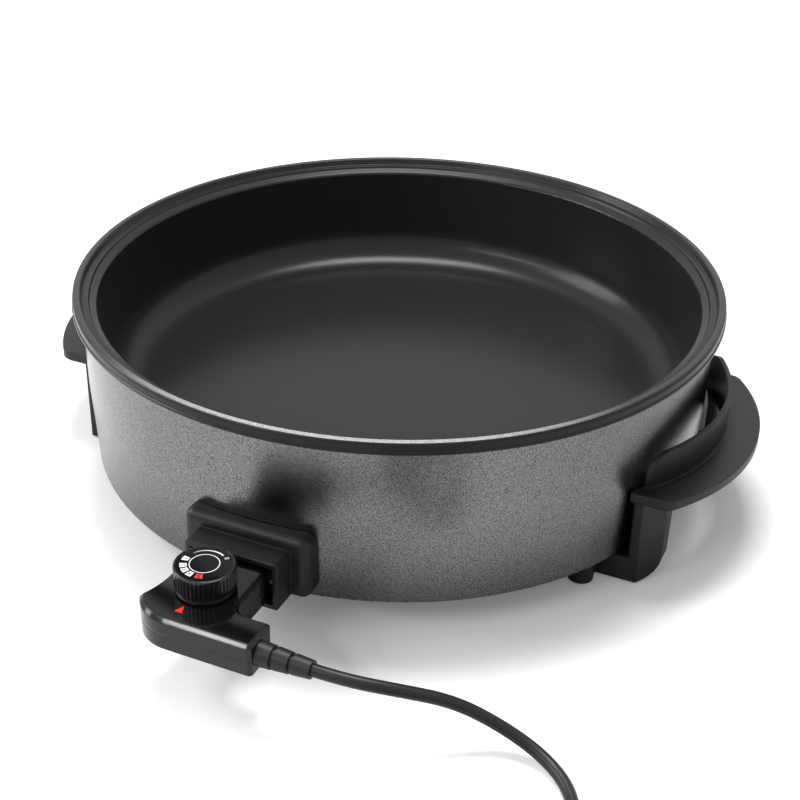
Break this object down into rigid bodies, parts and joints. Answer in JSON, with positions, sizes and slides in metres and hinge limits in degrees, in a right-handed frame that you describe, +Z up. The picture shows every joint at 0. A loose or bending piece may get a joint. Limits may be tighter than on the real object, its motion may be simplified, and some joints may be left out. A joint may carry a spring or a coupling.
{
  "type": "electric skillet",
  "caption": "Round electric skillet with a coated pan, grey lacquered shell, two side handles with feet, and a plug-in thermostat control with a rotary dial, strain relief, cord and plug.",
  "frame": {"origin": "on the table plane, under the centre of the round pan, at the mount stand_centre", "axes": "+Z up from the table; the thermostat control's socket faces -Y; the two handles lie along +X and -X"},
  "size_m": [0.564, 0.5928, 0.1255],
  "materials": {
    "nonstick_black": "satin black non-stick coating, inside and over the rim",
    "hammered_grey": "grey lacquer with a fine hammered speckle",
    "matt_black": "matt black moulded thermoset",
    "gloss_black": "glossy black moulded plastic",
    "knob_black": "satin black moulded plastic",
    "dial_black": "black dial printed in white and red",
    "element_steel": "satin steel sheath",
    "nickel": "nickel-plated metal",
    "brass": "plain brass contacts",
    "ceramic_white": "unglazed steatite, off-white",
    "screw_steel": "zinc-plated steel",
    "rubber_black": "black rubber pad",
    "cord_black": "black rubber sheath",
    "red_lens": "clear red lens",
    "lamp_glass": "neon lamp glass"
  },
  "bodies": {
    "pan": {"pan": "nonstick_black", "outer_shell": "hammered_grey", "heating_element": "element_steel", "element_pin_left": "nickel", "element_pin_right": "nickel", "element_seals": "ceramic_white", "earth_tab": "nickel", "socket_housing": "matt_black", "socket_insert": "ceramic_white", "socket_screws": "screw_steel", "handle_left": "matt_black", "handle_right": "matt_black", "foot_pads": "rubber_black", "foot_screws": "screw_steel"},
    "thermostat": {"thermostat_upper_shell": "gloss_black", "thermostat_lower_shell": "gloss_black", "shell_screws": "screw_steel", "connector_block": "ceramic_white", "contact_tubes": "brass", "probe_tube": "element_steel", "earth_spring": "brass", "switch_base": "ceramic_white", "contact_blades": "brass", "terminal_block": "ceramic_white", "indicator_lens": "red_lens", "neon_lamp": "lamp_glass", "strain_relief": "cord_black", "cord_clamp": "gloss_black", "cord_lead": "cord_black", "cord_tube": "cord_black", "cord_coil": "cord_black", "cord_tail": "cord_black", "plug_body": "cord_black", "plug_pins": "nickel"},
    "knob": {"knob": "knob_black", "spindle": "ceramic_white", "dial_plate": "dial_black"}
  },
  "joints": [
    {"name": "thermostat_pull_out", "type": "slide", "parent": "pan", "child": "thermostat", "axis": [0, -1, 0], "range_m": [0, 0.07]},
    {"name": "knob_turn", "type": "hinge", "parent": "thermostat", "child": "knob", "pos_m": [0, -0.2416, 0.0586], "axis": [0, 0, 1], "range_deg": [-20, 218]}
  ]
}
